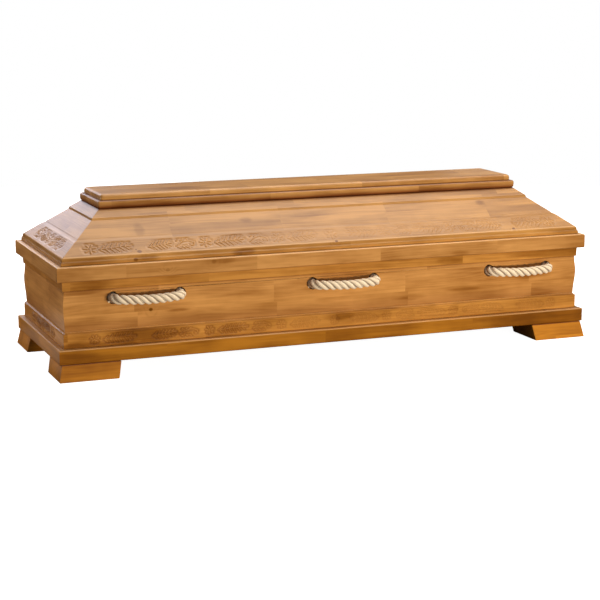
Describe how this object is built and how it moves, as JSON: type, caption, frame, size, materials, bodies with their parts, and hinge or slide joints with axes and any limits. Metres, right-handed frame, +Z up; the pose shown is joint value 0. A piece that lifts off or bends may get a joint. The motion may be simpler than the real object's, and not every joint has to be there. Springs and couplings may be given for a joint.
{
  "type": "wooden coffin",
  "caption": "Long wooden coffin with a hipped lid under a stepped cap board, a moulded and bowed base on splayed block feet, and rope handles along both sides.",
  "frame": {"origin": "on the ground below the middle of the coffin, at the centre of its outline", "axes": "+X along the coffin's length, +Y from the front side to the back side, +Z up"},
  "size_m": [2.0682, 0.7568, 0.615],
  "materials": {
    "lid_wood": "honey-stained softwood under a semi-gloss lacquer",
    "cap_wood": "pale honey-stained softwood under a semi-gloss lacquer",
    "rim_wood": "golden-stained softwood under a semi-gloss lacquer",
    "wall_wood": "golden-stained softwood under a semi-gloss lacquer",
    "strip_wood": "golden-stained softwood under a semi-gloss lacquer",
    "plinth_wood": "brown-stained softwood under a semi-gloss lacquer",
    "floor_wood": "plain planed softwood",
    "foot_wood": "brown-stained softwood under a semi-gloss lacquer",
    "rope": "three-strand cream rope, matt"
  },
  "bodies": {
    "root": {"base_side_front": "wall_wood", "base_end_right": "wall_wood", "base_side_back": "wall_wood", "base_end_left": "wall_wood", "rim_front": "rim_wood", "rim_right": "rim_wood", "rim_back": "rim_wood", "rim_left": "rim_wood", "top_moulding_front": "strip_wood", "top_moulding_right": "strip_wood", "top_moulding_back": "strip_wood", "top_moulding_left": "strip_wood", "carved_band_front": "strip_wood", "carved_band_right": "strip_wood", "carved_band_back": "strip_wood", "carved_band_left": "strip_wood", "plinth_front": "plinth_wood", "plinth_right": "plinth_wood", "plinth_back": "plinth_wood", "plinth_left": "plinth_wood", "base_floor": "floor_wood", "foot_front_left": "foot_wood", "foot_front_right": "foot_wood", "foot_back_left": "foot_wood", "foot_back_right": "foot_wood", "lid_side_front": "lid_wood", "lid_end_right": "lid_wood", "lid_side_back": "lid_wood", "lid_end_left": "lid_wood", "lid_cap_lower": "cap_wood", "lid_cap_upper": "cap_wood", "rope_handle_front_1": "rope", "rope_handle_front_2": "rope", "rope_handle_front_3": "rope", "rope_handle_back_1": "rope", "rope_handle_back_2": "rope", "rope_handle_back_3": "rope"}
  },
  "joints": []
}
